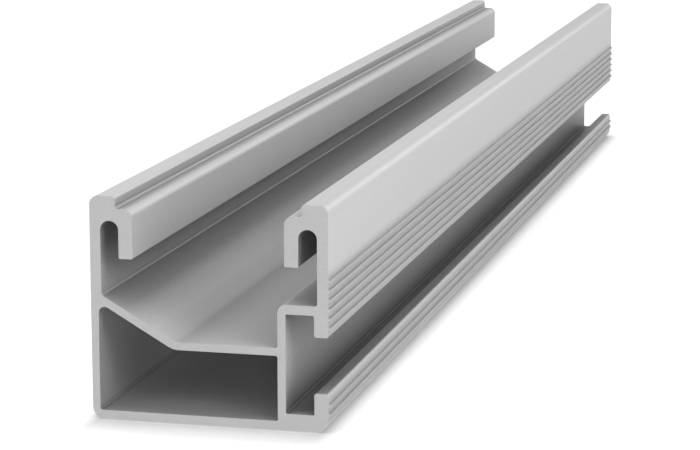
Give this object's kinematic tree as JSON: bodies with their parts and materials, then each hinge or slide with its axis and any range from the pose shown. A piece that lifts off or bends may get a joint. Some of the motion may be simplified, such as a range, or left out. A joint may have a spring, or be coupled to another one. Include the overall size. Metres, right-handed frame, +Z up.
{
  "type": "solar mounting rail",
  "caption": "Cut length of extruded aluminium rail with a hooked top channel, a bolt-head slot in one side and fine grip ribs.",
  "frame": {"origin": "middle of the flat base, between the plain side faces and half way along the length", "axes": "+Y along the rail, away from the viewer of the picture; +Z up, out of the top channel; +X towards the side with the bolt slot and ribs"},
  "size_m": [0.039, 0.305, 0.036],
  "materials": {
    "aluminium": "satin"
  },
  "bodies": {
    "root": {"mounting_rail": "aluminium"}
  },
  "joints": []
}
